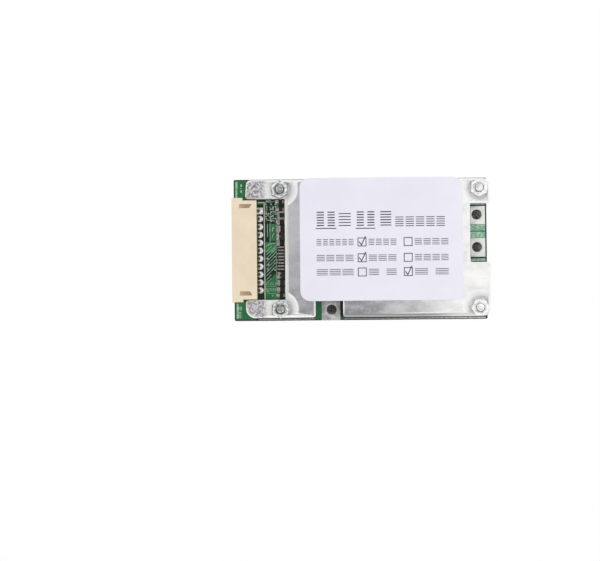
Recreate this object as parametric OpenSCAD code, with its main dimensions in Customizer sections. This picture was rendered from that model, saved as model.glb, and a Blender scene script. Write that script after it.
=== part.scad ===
// Battery management board: a circuit board under a pressed aluminium heat spreader,
// with a shrouded side-entry balance header, power MOSFETs and four screws with nuts.
// Millimetres. Origin at the middle of the footprint on the surface that the board rests on,
// +X away from the header, +Z up.

/* [Circuit board] */
// Length of the circuit board
board_l = 63.5; // [63:0.1:64]
// Width of the circuit board
board_w = 35.5; // [35.2:0.1:36]
// Thickness of the circuit board
board_t = 1.6; // [1.4:0.1:2]
// Radius of the board's corners
board_corner_r = 0.4; // [0.2:0.1:1]

/* [Heat spreader] */
// Thickness of the aluminium
spreader_t = 2.0; // [1.5:0.1:2.2]
// Height of the step between the seats and the raised plate
spreader_rise = 2.6; // [2.6:0.1:3]
// How far the plate stands out past the board's right edge
spreader_overhang = 0.7; // [0.1:0.1:1]
// Distance from the board's left edge to the raised plate
plate_left = 12.8; // [12.6:0.1:13.5]
// Distance from the board's left edge to the ends of the two arms
arm_left = 2.9; // [2.9:0.1:3.5]
// Inner edge of the rear arm, from the board's centre line
arm_inner_rear = 12.8; // [12.6:0.1:13]
// Inner edge of the front arm, from the board's centre line
arm_inner_front = 12.6; // [12.6:0.1:13]
// Rear edge of the spreader, from the board's centre line
spreader_rear = 17.5; // [17.3:0.1:17.7]
// Front edge of the spreader, from the board's centre line
spreader_front = 17.1; // [17:0.1:17.5]
// Radius of the plate's right corners
plate_corner_r = 1.8; // [1:0.1:2.4]
// Radius of the front arm's outer corner
arm_front_r = 2.4; // [1:0.1:3]
// Radius of the rear arm's outer corner
arm_rear_r = 1.2; // [0.5:0.1:3]
// Radius of the arms' inner corners
arm_inner_r = 0.7; // [0.3:0.1:1]
// Radius of the flat floor round each nut
seat_floor_r = 2.55; // [2.5:0.05:2.6]
// Radius of each seat at the top of its sloping wall
seat_top_r = 4.45; // [4.3:0.05:4.6]

/* [Fixings] */
// Distance of the left screws from the board's left edge
screw_left = 11.55; // [11.4:0.05:11.7]
// Distance between the left and right screws
screw_pitch_x = 50; // [49.8:0.1:50.1]
// Distance between the front and rear screws
screw_pitch_y = 30; // [29.8:0.1:30.2]
// Thread diameter of the screws
screw_d = 2; // [1.9:0.05:2]
// Diameter of the clearance holes for the screws
screw_hole_d = 2.2; // [2.1:0.05:2.4]
// Diameter of the pan heads
head_d = 3.8; // [3.4:0.1:4]
// Height of the pan heads
head_h = 1.3; // [1.3:0.1:1.6]
// Width of the nuts across their flats
nut_af = 4; // [3.8:0.1:4]
// Height of the nuts
nut_h = 1.6; // [1.2:0.1:1.6]
// How far a screw's end stands above its nut
screw_end = 0.6; // [0.3:0.1:1]

/* [Header] */
// Number of contacts
pin_count = 11; // [11:1:11]
// Distance between contacts
pin_pitch = 2; // [2:0.5:2]
// Depth of the housing, from its open face to its back
header_d = 6.2; // [6:0.1:6.3]
// Height of the housing
header_h = 5.5; // [5.3:0.1:5.8]
// Length of the housing over its end ears
header_l = 25.9; // [25.6:0.1:26]
// Length of the housing behind the ears
header_back_l = 24.6; // [24.5:0.1:24.8]
// How far the open face stands past the board's left edge
header_overhang = 0.45; // [0.3:0.05:0.6]
// Distance of the header's middle from the board's centre line, towards the front
header_shift = 0.15; // [0.1:0.01:0.2]
// Width of the ears, from the open face
ear_d = 2.7; // [2.4:0.1:2.8]
// Thickness of a contact
pin_t = 0.5; // [0.4:0.05:0.5]

/* [Power parts] */
// Number of MOSFETs in each of the two rows
mosfets_per_row = 4; // [4:1:4]
// Distance between MOSFETs
mosfet_pitch = 9; // [8:0.1:9.2]
// Height of a MOSFET
mosfet_h = 2.3; // [2:0.1:2.3]
// Diameter of the wire holes
wire_hole_d = 2.5; // [2:0.02:2.6]

/* [Label] */
// Length of the label
label_l = 40.7; // [38:0.1:41]
// Width of the label
label_w = 30.8; // [30:0.1:31]
// Thickness of the label
label_t = 0.12; // [0.1:0.01:0.2]
// Radius of the label's corners
label_r = 2.5; // [1:0.1:4]

/* [Hidden] */
$fn = 48;
eps = 0.01;

// Heights of the layers, from the surface under the screw heads
board_z = head_h;
top_z = board_z + board_t;
seat_z = top_z + spreader_t;
plate_z = top_z + spreader_rise;
plate_top = plate_z + spreader_t;
screw_tip = seat_z + nut_h + screw_end;

// X is measured from the board's left edge inside place()
board_left = (header_overhang - board_l - spreader_overhang) / 2;
plate_right = board_l + spreader_overhang;
screws = [for (x = [screw_left, screw_left + screw_pitch_x], y = [1, -1])
    [x, y * screw_pitch_y / 2]];
// Each nut stopped at its own angle when it was tightened
nut_turn = [34, 30, 25, 4];

// Open notches in the plate over the wire pads
front_notch_x = [20.3, 27.2];
front_notch_y = -12.2;
right_notch_x = 59.1;
right_notch_y = [-3.7, 11.1];

// Wire pads: hole, and the land's [left, front, right, rear]
wire_holes = [[24.35, -15.1], [61, 8.45], [61, 0.25]];
wire_lands = [[21.85, -board_w / 2, 26.5, -12.9], [59.4, 6, 63.1, 10.6], [59.4, -2.2, 63.1, 2.5]];
land_t = 0.1;
plating_t = 0.07;

// The slope of a seat's wall, and how wide the wall is along the board
seat_slope = (seat_top_r - seat_floor_r) / spreader_rise;
seat_wall_run = 2;
seat_foot_r = seat_floor_r - seat_slope * spreader_t + seat_wall_run;

// Header
header_back = header_d - header_overhang;
header_wall_top = 0.6;
header_wall_bottom = 0.55;
header_wall_back = 1.25;
header_cavity_l = 23.8;
pin_z = top_z + 2.7;
pin_tip = 0.8;
pin_foot_t = 0.35;
pin_foot_end = 7.3;
pin_gap = 0.03;
pin_ys = [for (i = [0 : pin_count - 1]) -header_shift + (pin_count - 1 - 2 * i) / 2 * pin_pitch];
window_x = 1.45;
window_w = 1.05;
window_outer_l = 3.15;
window_inner_l = 2.55;
window_y = 10.9;
tab_x = [0.2, 1.9];
tab_l = 1.3;
tab_t = 0.2;
tab_h = 1.6;
solder_x = 6.75;
solder_r = 0.9;
solder_h = 0.55;

// MOSFETs
mosfet_x = 24;
mosfet_w = 6.6;
mosfet_body_l = 6.1;
mosfet_tab_end = 12;
mosfet_tab_l = 1.0;
mosfet_tab_w = 5.3;
mosfet_tab_t = 0.5;
mosfet_lead_l = 2.7;
mosfet_lead_w = 0.76;
mosfet_lead_pitch = 2.29;
pad_sheet_t = spreader_rise - mosfet_h;
pad_sheet_margin = 1.2;

// Small parts in the open window, listed from the rear: chips as [x, y, turn, size]
chip_s = [1.6, 0.8, 0.45];
chip_m = [2, 1.25, 0.5];
chip_l = [3.2, 1.6, 0.6];
window_chips = [
    [11.75, 12.1, 0, chip_s],
    [11.8, 10.2, 0, chip_s],
    [12.05, 8.7, 90, chip_m],
    [12.1, 7, 0, chip_m],
    [12.6, 5.3, 0, chip_l],
    [12.05, 1.72, 0, chip_m],
    [12.05, -8.25, 0, chip_m],
    [12.05, -10.05, 0, chip_m],
    [11.8, -11.45, 0, chip_s]
];
// Transistors as [x, y, turn, [length, width, height], distance between the paired leads]
window_transistors = [
    [12.3, 3.43, 90, [2.1, 1.35, 1], 1.3],
    [12.2, -6.4, -90, [1.6, 0.9, 0.8], 1]
];
ic_at = [14.7, -2.1];
ic_body = [4.4, 6.3, 1.35];
ic_span = 7;
ic_lead_pitch = 0.79;
ic_lead_w = 0.35;
ic_leads = 8;

// Current-sensing shunts
shunt_x = 57.3;
shunt_pitch = 6.8;
shunt_size = [6.35, 3.15, 0.7];

// Balancing channels on the underside
channel_x = 9.6;
channel_pitch = 4.8;
channel_count = 10;
balance_resistor_y = [9.2, 6.8];
balance_resistor_size = [3.2, 1.6, 0.6];
balance_transistor_y = 3.2;
balance_transistor_size = [2.9, 1.3, 1.1];
balance_lead_pitch = 1.9;
balance_capacitor_y = 0.4;
balance_capacitor_size = [1.6, 0.8, 0.7];

// Puts the children where X counts from the board's left edge
module place() {
    translate([board_left, 0, 0]) children();
}

// Flat rectangle from its [left, front, right, rear]
module area(b) {
    translate([b[0], b[1]]) square([b[2] - b[0], b[3] - b[1]]);
}

// What a rounded corner takes away: the corner's point, its radius, and the way in
module corner_waste(x, y, r, way) {
    difference() {
        translate([x + (way[0] < 0 ? -r : -eps), y + (way[1] < 0 ? -r : -eps)])
            square(r + eps);
        translate([x + way[0] * r, y + way[1] * r]) circle(r);
    }
}

// Rectangle with the same radius on all four corners
module rounded_area(b, r) {
    difference() {
        area(b);
        corner_waste(b[0], b[1], r, [1, 1]);
        corner_waste(b[2], b[1], r, [-1, 1]);
        corner_waste(b[2], b[3], r, [-1, -1]);
        corner_waste(b[0], b[3], r, [1, -1]);
    }
}

// Laminate, drilled for the screws and the wires
module pcb() {
    color("seagreen") place() translate([0, 0, board_z]) difference() {
        linear_extrude(board_t)
            rounded_area([0, -board_w / 2, board_l, board_w / 2], board_corner_r);
        for (p = screws)
            translate([p[0], p[1], -1]) cylinder(d = screw_hole_d, h = board_t + 2);
        for (p = wire_holes)
            translate([p[0], p[1], -1])
                cylinder(r = wire_hole_d / 2 + plating_t, h = board_t + 2);
    }
}

// Outline of the raised plate, with its two notches
module plate_outline() {
    difference() {
        area([plate_left, -spreader_front, plate_right, spreader_rear]);
        corner_waste(plate_right, spreader_rear, plate_corner_r, [-1, -1]);
        corner_waste(plate_right, -spreader_front, plate_corner_r, [-1, 1]);
        area([front_notch_x[0], -board_w, front_notch_x[1], front_notch_y]);
        area([right_notch_x, right_notch_y[0], board_l + board_w, right_notch_y[1]]);
    }
}

// Outline of the two low arms over the board's left corners
module arms_outline() {
    difference() {
        area([arm_left, arm_inner_rear, plate_left, spreader_rear]);
        corner_waste(arm_left, arm_inner_rear, arm_inner_r, [1, 1]);
        corner_waste(arm_left, spreader_rear, arm_rear_r, [1, -1]);
    }
    difference() {
        area([arm_left, -spreader_front, plate_left, -arm_inner_front]);
        corner_waste(arm_left, -arm_inner_front, arm_inner_r, [1, -1]);
        corner_waste(arm_left, -spreader_front, arm_front_r, [1, 1]);
    }
}

// Pressed plate: the seats and arms are pushed down to the board, the rest stands over the parts
module heat_spreader() {
    color("silver") place() difference() {
        union() {
            translate([0, 0, plate_z]) linear_extrude(spreader_t) plate_outline();
            translate([0, 0, top_z]) linear_extrude(spreader_t) arms_outline();
            intersection() {
                translate([0, 0, top_z]) linear_extrude(spreader_rise + eps) plate_outline();
                for (p = screws)
                    translate([p[0], p[1], top_z])
                        cylinder(r1 = seat_foot_r, r2 = seat_foot_r + seat_slope * spreader_rise,
                            h = spreader_rise);
            }
        }
        for (p = screws) {
            translate([p[0], p[1], seat_z])
                cylinder(r1 = seat_floor_r, r2 = seat_floor_r + seat_slope * spreader_rise * 1.5,
                    h = spreader_rise * 1.5);
            translate([p[0], p[1], 0]) cylinder(d = screw_hole_d, h = plate_top);
        }
        // The plate's right corners stay down at the level of their seats
        for (side = [0, 1])
            mirror([0, side, 0]) translate([screws[3][0], screw_pitch_y / 2, seat_z])
                cube([board_l, board_w, spreader_rise + 1]);
    }
}

// Soft heat-conducting sheet between the MOSFETs and the plate
module thermal_pad() {
    color("lightgray") place() translate([0, 0, plate_z - pad_sheet_t]) linear_extrude(pad_sheet_t)
        area([
            mosfet_x - mosfet_w / 2 - pad_sheet_margin,
            -mosfet_tab_end,
            mosfet_x + (mosfets_per_row - 1) * mosfet_pitch + mosfet_w / 2 + pad_sheet_margin,
            mosfet_tab_end
        ]);
}

// Sticker on the plate
module label() {
    label_left = 16.55;
    label_rear = spreader_rear + 0.2;
    color("lavender") place() translate([0, 0, plate_top]) linear_extrude(label_t)
        rounded_area([label_left, label_rear - label_w, label_left + label_l, label_rear], label_r);
}

// Side profile of one contact: post, bend behind the housing and foot on the board
module pin_profile(grow = 0) {
    drop_x = header_back - pin_t;
    area([pin_tip, pin_z - pin_t / 2 - grow, header_back, pin_z + pin_t / 2 + grow]);
    area([drop_x - grow, top_z, header_back, pin_z + pin_t / 2 + grow]);
    area([drop_x - grow, top_z, pin_foot_end, top_z + pin_foot_t]);
}

// One contact, made by extruding its side profile across its thickness
module pin_body(y, grow = 0) {
    translate([0, y + pin_t / 2 + grow, 0]) rotate([90, 0, 0])
        linear_extrude(pin_t + 2 * grow) pin_profile(grow);
}

module header_pin(i) {
    color("gold") place() pin_body(pin_ys[i - 1]);
}

// Window in the top wall: a parallelogram with a slanted inner end
module header_window(side) {
    half = window_w / 2;
    mirror([0, side < 0 ? 1 : 0]) polygon([
        [window_x, window_y - half],
        [window_x, window_y + half],
        [window_x + window_outer_l, window_y + half],
        [window_x + window_inner_l, window_y - half]
    ]);
}

// Solder tab that holds one end of the header to the board
module header_tab(side) {
    color("gainsboro") place() translate([0, -header_shift, top_z]) mirror([0, side < 0 ? 1 : 0, 0])
        tab_solid(0);
}

module tab_solid(grow) {
    outer = header_l / 2 - 0.25;
    translate([tab_x[0] - grow, outer - tab_l - grow, 0])
        cube([tab_x[1] - tab_x[0] + 2 * grow, tab_l + 2 * grow, tab_t + grow]);
    translate([tab_x[0] - grow, outer - tab_t - grow, 0])
        cube([tab_x[1] - tab_x[0] + 2 * grow, tab_t + 2 * grow, tab_h + grow]);
}

// Shrouded housing, open to the left, with two windows near the ends of its top wall
module header_housing() {
    cavity_d = header_d - header_wall_back;
    color("blanchedalmond") place() difference() {
        translate([0, -header_shift, top_z]) {
            translate([-header_overhang, -header_l / 2, 0]) cube([ear_d, header_l, header_h]);
            translate([-header_overhang, -header_back_l / 2, 0])
                cube([header_d, header_back_l, header_h]);
        }
        translate([-header_overhang - 1, -header_shift - header_cavity_l / 2,
            top_z + header_wall_bottom])
            cube([cavity_d + 1, header_cavity_l,
                header_h - header_wall_top - header_wall_bottom]);
        translate([0, -header_shift, top_z + header_h - header_wall_top - 1])
            linear_extrude(header_wall_top + 2)
                for (side = [1, -1]) header_window(side);
        for (y = pin_ys) pin_body(y, pin_gap);
        for (side = [0, 1])
            translate([0, -header_shift, top_z]) mirror([0, side, 0]) tab_solid(pin_gap);
    }
}

// Solder fillets over the contacts' feet
module header_solder() {
    ball_r = (solder_r * solder_r + solder_h * solder_h) / (2 * solder_h);
    color("lightgray") place() difference() {
        intersection() {
            union()
                for (y = pin_ys)
                    translate([solder_x, y, top_z + solder_h - ball_r]) sphere(ball_r);
            translate([0, -board_w / 2, top_z]) cube([board_l, board_w, solder_h + 1]);
        }
        for (y = pin_ys) pin_body(y);
    }
}

// Tinned land on both faces with the plated hole between them
module wire_pad(hole, land) {
    color("lightgray") place() difference() {
        union() {
            translate([0, 0, top_z]) linear_extrude(land_t) area(land);
            translate([0, 0, board_z - land_t]) linear_extrude(land_t) area(land);
            translate([hole[0], hole[1], board_z])
                cylinder(r = wire_hole_d / 2 + plating_t, h = board_t);
        }
        translate([hole[0], hole[1], board_z - 1]) cylinder(d = wire_hole_d, h = board_t + 2);
    }
}

module battery_pad() {
    wire_pad(wire_holes[0], wire_lands[0]);
}

module charge_pad() {
    wire_pad(wire_holes[1], wire_lands[1]);
}

module load_pad() {
    wire_pad(wire_holes[2], wire_lands[2]);
}

// Pan-head screw from below, turned as one profile
module screw(i) {
    edge = 0.35;
    tip = 0.25;
    r = screw_d / 2 - 0.02;
    color("gainsboro") place() translate([screws[i - 1][0], screws[i - 1][1], 0]) rotate_extrude()
        polygon([
            [0, 0],
            [head_d / 2 - edge, 0],
            [head_d / 2, edge],
            [head_d / 2, head_h],
            [r, head_h],
            [r, screw_tip - tip],
            [r - tip, screw_tip],
            [0, screw_tip]
        ]);
}

// Hexagon nut with chamfered corners on both faces
module nut(i) {
    corner_r = nut_af / 2 / cos(30);
    bevel = 0.25;
    color("gainsboro") place() translate([screws[i - 1][0], screws[i - 1][1], seat_z]) difference() {
        intersection() {
            rotate(nut_turn[i - 1]) cylinder(r = corner_r, h = nut_h, $fn = 6);
            rotate_extrude() polygon([
                [0, 0],
                [corner_r - bevel, 0],
                [corner_r, bevel / 2],
                [corner_r, nut_h - bevel / 2],
                [corner_r - bevel, nut_h],
                [0, nut_h]
            ]);
        }
        translate([0, 0, -1]) cylinder(d = screw_d, h = nut_h + 2);
    }
}

// Power transistor: moulded body, cooling tab and two leads
module mosfet(i) {
    row = i > mosfets_per_row ? 1 : 0;
    column = (i - 1) % mosfets_per_row;
    front = mosfet_tab_end - mosfet_tab_l - mosfet_body_l;
    draft = 0.2;
    foot_t = 0.5;
    color("dimgray") place() mirror([0, row, 0])
        translate([mosfet_x + column * mosfet_pitch, 0, top_z]) {
            translate([-mosfet_w / 2, front, 0]) rotate([90, 0, 90]) linear_extrude(mosfet_w)
                polygon([
                    [0, 0.1],
                    [mosfet_body_l, 0.1],
                    [mosfet_body_l - draft, mosfet_h],
                    [draft, mosfet_h]
                ]);
            translate([-mosfet_tab_w / 2, front + mosfet_body_l / 2, 0])
                cube([mosfet_tab_w, mosfet_body_l / 2 + mosfet_tab_l, mosfet_tab_t]);
            for (side = [-1, 1])
                translate([side * mosfet_lead_pitch - mosfet_lead_w / 2, front, 0])
                    rotate([90, 0, 90]) linear_extrude(mosfet_lead_w)
                        polygon([
                            [-mosfet_lead_l, 0],
                            [-mosfet_lead_l / 2, 0],
                            [-mosfet_lead_l / 3, 0.6],
                            [0.5, 0.6],
                            [0.5, 0.6 + foot_t],
                            [-mosfet_lead_l / 2, 0.6 + foot_t],
                            [-mosfet_lead_l * 0.6, foot_t],
                            [-mosfet_lead_l, foot_t]
                        ]);
        }
}

// Chip part lying on z = 0, long side along X, with its two metal ends a little proud
module chip(size) {
    end = size[0] / 5;
    skin = 0.03;
    translate([-size[0] / 2 + end / 2, -size[1] / 2 + skin, 0])
        cube([size[0] - end, size[1] - 2 * skin, size[2] - skin]);
    for (x = [-size[0] / 2, size[0] / 2 - end])
        translate([x, -size[1] / 2, 0]) cube([end, size[1], size[2]]);
}

// Small transistor lying on z = 0: drafted body, one lead at its rear and a pair at its front
module small_transistor(size, pair_pitch) {
    lead_w = 0.36;
    reach = 0.5;
    lead_t = 0.15;
    stand = 0.1;
    draft = 0.12;
    root = 0.1;
    translate([-size[0] / 2, -size[1] / 2, 0]) rotate([90, 0, 90]) linear_extrude(size[0])
        polygon([
            [draft, stand],
            [size[1] - draft, stand],
            [size[1], size[2] / 2],
            [size[1] - draft, size[2]],
            [draft, size[2]],
            [0, size[2] / 2]
        ]);
    for (lead = [[0, 0], [-pair_pitch / 2, 1], [pair_pitch / 2, 1]])
        translate([lead[0] - lead_w / 2, 0, 0]) mirror([0, lead[1], 0])
            translate([0, size[1] / 2, 0]) rotate([90, 0, 90]) linear_extrude(lead_w)
                polygon([
                    [-draft - root, 0],
                    [reach, 0],
                    [reach, lead_t],
                    [draft + lead_t, lead_t],
                    [draft, size[2] / 2],
                    [-draft - root, size[2] / 2]
                ]);
}

module shunt(i) {
    color("darkgray") place() translate([shunt_x, (2 - i) * shunt_pitch, top_z]) rotate(90)
        chip(shunt_size);
}

module driver_transistor(i) {
    part = window_transistors[i - 1];
    color("dimgray") place() translate([part[0], part[1], top_z]) rotate(part[2])
        small_transistor(part[3], part[4]);
}

module sense_chip(i) {
    part = window_chips[i - 1];
    color("dimgray") place() translate([part[0], part[1], top_z]) rotate(part[2]) chip(part[3]);
}

// Cell-monitoring chip with gull-wing leads on both long sides
module protection_ic() {
    lead_t = 0.15;
    stand = 0.1;
    shoulder = 0.65;
    foot = 0.5;
    reach = (ic_span - ic_body[0]) / 2;
    color("dimgray") place() translate([ic_at[0], ic_at[1], top_z]) {
        translate([0, ic_body[1] / 2, 0]) rotate([90, 0, 0]) linear_extrude(ic_body[1])
            polygon([
                [-ic_body[0] / 2 + stand, stand],
                [ic_body[0] / 2 - stand, stand],
                [ic_body[0] / 2, shoulder],
                [ic_body[0] / 2 - stand, ic_body[2]],
                [-ic_body[0] / 2 + stand, ic_body[2]],
                [-ic_body[0] / 2, shoulder]
            ]);
        for (side = [0, 1], i = [0 : ic_leads - 1])
            mirror([side, 0, 0])
                translate([ic_body[0] / 2, (i - (ic_leads - 1) / 2) * ic_lead_pitch + ic_lead_w / 2, 0])
                    rotate([90, 0, 0]) linear_extrude(ic_lead_w)
                        polygon([
                            [-0.3, shoulder],
                            [reach - foot, shoulder],
                            [reach - foot + 0.1, lead_t],
                            [reach, lead_t],
                            [reach, 0],
                            [reach - foot - 0.05, 0],
                            [reach - foot - 0.15, shoulder - lead_t],
                            [-0.3, shoulder - lead_t]
                        ]);
    }
}

// Puts the children at each balancing channel, hanging from the board's underside
module channels(y) {
    for (i = [0 : channel_count - 1])
        translate([channel_x + i * channel_pitch, y, board_z]) mirror([0, 0, 1]) children();
}

module balance_resistors() {
    color("dimgray") place() for (y = balance_resistor_y) channels(y) chip(balance_resistor_size);
}

module balance_transistors() {
    color("dimgray") place() channels(balance_transistor_y)
        small_transistor(balance_transistor_size, balance_lead_pitch);
}

module balance_capacitors() {
    color("tan") place() channels(balance_capacitor_y) chip(balance_capacitor_size);
}

pcb();
heat_spreader();
thermal_pad();
label();
header_housing();
header_solder();
header_tab(1);  // header_tab_rear
header_tab(-1);  // header_tab_front
for (i = [1 : pin_count]) header_pin(i);
battery_pad();
charge_pad();
load_pad();
for (i = [1 : 4]) screw(i);
for (i = [1 : 4]) nut(i);
for (i = [1 : 2 * mosfets_per_row]) mosfet(i);
for (i = [1 : 3]) shunt(i);
protection_ic();
for (i = [1 : len(window_transistors)])
    driver_transistor(i);
for (i = [1 : len(window_chips)])
    sense_chip(i);
balance_resistors();
balance_transistors();
balance_capacitors();
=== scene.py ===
"""The looks of a battery management board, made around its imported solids.

Shapes are worked out in millimetres in the board's own terms: x counts from the board's left edge,
y from its centre line and z from the surface that the board rests on.
"""

import math

import bmesh
import bpy
import numpy as np
from mathutils import Matrix, Vector
from mathutils.geometry import delaunay_2d_cdt


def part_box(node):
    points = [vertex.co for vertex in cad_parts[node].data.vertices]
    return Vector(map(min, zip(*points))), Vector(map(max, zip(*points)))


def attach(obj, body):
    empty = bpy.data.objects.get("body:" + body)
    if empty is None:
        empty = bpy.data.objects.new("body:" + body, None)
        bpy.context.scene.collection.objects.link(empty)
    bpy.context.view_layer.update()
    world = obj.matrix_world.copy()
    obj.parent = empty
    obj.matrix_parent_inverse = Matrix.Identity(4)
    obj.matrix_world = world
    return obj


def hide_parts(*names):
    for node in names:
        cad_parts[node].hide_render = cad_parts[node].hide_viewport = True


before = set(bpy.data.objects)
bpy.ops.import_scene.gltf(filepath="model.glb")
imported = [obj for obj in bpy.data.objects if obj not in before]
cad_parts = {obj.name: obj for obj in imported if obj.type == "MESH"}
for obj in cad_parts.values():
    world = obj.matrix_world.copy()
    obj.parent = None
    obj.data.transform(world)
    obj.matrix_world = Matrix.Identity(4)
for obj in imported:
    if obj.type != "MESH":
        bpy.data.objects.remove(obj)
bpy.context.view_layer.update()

MM = 0.001
BOARD_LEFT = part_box("pcb")[0].x


# Datums ---------------------------------------------------------------------------------------------

def span(node):
    """Lowest and highest corner of a CAD node, in millimetres from the board's left edge."""
    low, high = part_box(node)
    shift = np.array([BOARD_LEFT, 0, 0])
    return (np.array(low) - shift) / MM, (np.array(high) - shift) / MM


def middle(node):
    """Middle of a CAD node's box."""
    low, high = span(node)
    return (low + high) / 2


BOARD_LOW, BOARD_HIGH = span("pcb")
BOARD_L, BOARD_W = BOARD_HIGH[0], BOARD_HIGH[1] - BOARD_LOW[1]
UNDER_Z, TOP_Z = BOARD_LOW[2], BOARD_HIGH[2]
SHEET_LOW, SHEET_HIGH = span("heat_spreader")
PLATE_Z = SHEET_HIGH[2]
NUTS = [f"nut_{i}" for i in range(1, 5)]
SCREWS = [f"screw_{i}" for i in range(1, 5)]
SEATS = np.array([middle(nut)[:2] for nut in NUTS])
SEAT_Z = span("nut_1")[0][2]
SHEET_T = SEAT_Z - TOP_Z
RISE = PLATE_Z - SEAT_Z
PINS = [f"header_pin_{i}" for i in range(1, 12)]
PIN_Y = [middle(pin)[1] for pin in PINS]
JOINT_X, JOINT_R, JOINT_H = 6.54, 0.8, 0.55


# Finishes -------------------------------------------------------------------------------------------

def paint(red, green, blue):
    """A colour given as it looks on screen, from 0 to 255, as the linear values that shaders use."""
    screen = np.array([red, green, blue]) / 255
    linear = np.where(screen <= 0.04045, screen / 12.92, ((screen + 0.055) / 1.055) ** 2.4)
    return (*linear.tolist(), 1.0)


class Field:
    """A number or colour that varies over a surface. Arithmetic on it adds Math nodes."""

    def __init__(self, finish, socket):
        self.finish = finish
        self.socket = socket

    def sum_up(self, operation, *values):
        return self.finish.node("ShaderNodeMath", {"operation": operation}, *values)

    def __add__(self, other):
        return self.sum_up("ADD", self, other)

    __radd__ = __add__

    def __sub__(self, other):
        return self.sum_up("SUBTRACT", self, other)

    def __rsub__(self, other):
        return self.sum_up("SUBTRACT", other, self)

    def __mul__(self, other):
        return self.sum_up("MULTIPLY", self, other)

    __rmul__ = __mul__

    def __pow__(self, other):
        return self.sum_up("POWER", self, other)

    def __abs__(self):
        return self.sum_up("ABSOLUTE", self)

    def __gt__(self, other):
        return self.sum_up("GREATER_THAN", self, other)

    def __lt__(self, other):
        return self.sum_up("LESS_THAN", self, other)

    def rise(self, low, high):
        """0 up to low, 1 from high on, and a smooth step between; low may be the larger one."""
        settings = {"interpolation_type": "SMOOTHSTEP"}
        if low < high:
            return self.finish.node("ShaderNodeMapRange", settings, self, low, high, 0, 1)
        return self.finish.node("ShaderNodeMapRange", settings, self, high, low, 1, 0)


class Finish:
    """A material: a Principled shader with its fixed values, and the fields that vary over it."""

    def __init__(self, name, **fixed):
        self.material = bpy.data.materials.new(name)
        self.material.use_nodes = True
        self.tree = self.material.node_tree
        self.shader = self.tree.nodes["Principled BSDF"]
        for socket, value in fixed.items():
            self.shader.inputs[socket.replace("_", " ")].default_value = value
        self.places = None

    def node(self, kind, settings=None, *values, output=0, **named):
        """Adds a node: its settings first, then the values or links of its sockets by order or name."""
        node = self.tree.nodes.new(kind)
        for name, value in (settings or {}).items():
            setattr(node, name, value)
        for key, value in [*enumerate(values), *named.items()]:
            socket = node.inputs[key.replace("_", " ") if isinstance(key, str) else key]
            if isinstance(value, Field):
                self.tree.links.new(value.socket, socket)
            elif value is not None:
                socket.default_value = value
        return Field(self, node.outputs[output])

    def put(self, socket, field):
        """Feeds one socket of the shader."""
        self.tree.links.new(field.socket, self.shader.inputs[socket])
        return self

    def place(self):
        """Position on the object in millimetres, with x from the board's left edge."""
        if self.places is None:
            metres = Field(self, self.tree.nodes.new("ShaderNodeTexCoord").outputs["Object"])
            settings = {"operation": "MULTIPLY_ADD"}
            shift = (-BOARD_LEFT / MM, 0, 0)
            self.places = self.node("ShaderNodeVectorMath", settings, metres, (1 / MM,) * 3, shift)
        return self.places

    def axes(self):
        """Position as three numbers in millimetres."""
        node = self.node("ShaderNodeSeparateXYZ", None, self.place()).socket.node
        return [Field(self, output) for output in node.outputs]

    def noise(self, size, stretch=(1, 1, 1), detail=3, roughness=0.6, distortion=0):
        """Smooth random field from 0 to 1 whose features are size millimetres wide."""
        scaled = tuple(1 / (size * s) for s in stretch)
        where = self.node("ShaderNodeVectorMath", {"operation": "MULTIPLY"}, self.place(), scaled)
        return self.node("ShaderNodeTexNoise", None, Vector=where, Scale=1.0, Detail=detail,
                         Roughness=roughness, Distortion=distortion)

    def blend(self, share, first, second):
        """Colour that goes from first, where share is 0, to second, where it is 1."""
        settings = {"data_type": "RGBA", "clamp_factor": True}
        node = self.node("ShaderNodeMix", settings, share).socket.node
        for socket, colour in ((node.inputs[6], first), (node.inputs[7], second)):
            if isinstance(colour, Field):
                self.tree.links.new(colour.socket, socket)
            else:
                socket.default_value = colour
        return Field(self, node.outputs[2])

    def relief(self, height, depth, strength=1.0):
        """Bump of that depth in millimetres from a field that goes from 0 to 1."""
        return self.put("Normal", self.node("ShaderNodeBump", None, Strength=strength,
                                            Distance=depth * MM, Height=height))


def mottled(name, first, second, size, grain, depth, detail=2, stretch=(1, 1, 1), gloss=None, **fixed):
    """A finish that drifts between two close colours over patches of that size, with a fine grain in
    relief. gloss, where given, is a varying roughness: size of its patches, spread and least value."""
    finish = Finish(name, **fixed)
    share = finish.noise(size).rise(0.35, 0.65)
    finish.put("Base Color", finish.blend(share, paint(*first), paint(*second)))
    if gloss:
        patch, spread, least = gloss
        finish.put("Roughness", finish.noise(patch) * spread + least)
    if depth:
        finish.relief(finish.noise(grain, stretch, detail), depth)
    return finish.material


def solder_mask():
    """Green lacquer over the board, with a dark border along the cut edge."""
    finish = Finish("solder_mask", Roughness=0.34, IOR=1.5)
    x, y, _ = finish.axes()
    drift = finish.noise(2.5).rise(0.3, 0.7)
    green = finish.blend(drift, paint(32, 106, 62), paint(48, 134, 82))
    inset = 0.4
    border = (abs(y) > BOARD_W / 2 - inset) + (x < inset) + (x > BOARD_L - inset)
    green = finish.blend(border, green, paint(48, 72, 54))
    finish.put("Base Color", green)
    finish.put("Roughness", finish.noise(0.8) * 0.12 + 0.28)
    finish.relief(finish.noise(0.35, detail=2), 0.006)
    return finish.material


def cut_laminate():
    """Milled edge of the glass laminate, with its layers."""
    finish = Finish("cut_laminate", Roughness=0.75)
    layers = finish.noise(0.16, stretch=(12, 12, 1), detail=2).rise(0.35, 0.65)
    finish.put("Base Color", finish.blend(layers, paint(74, 88, 62), paint(112, 122, 88)))
    finish.relief(finish.noise(0.12, detail=2), 0.02)
    return finish.material


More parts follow.
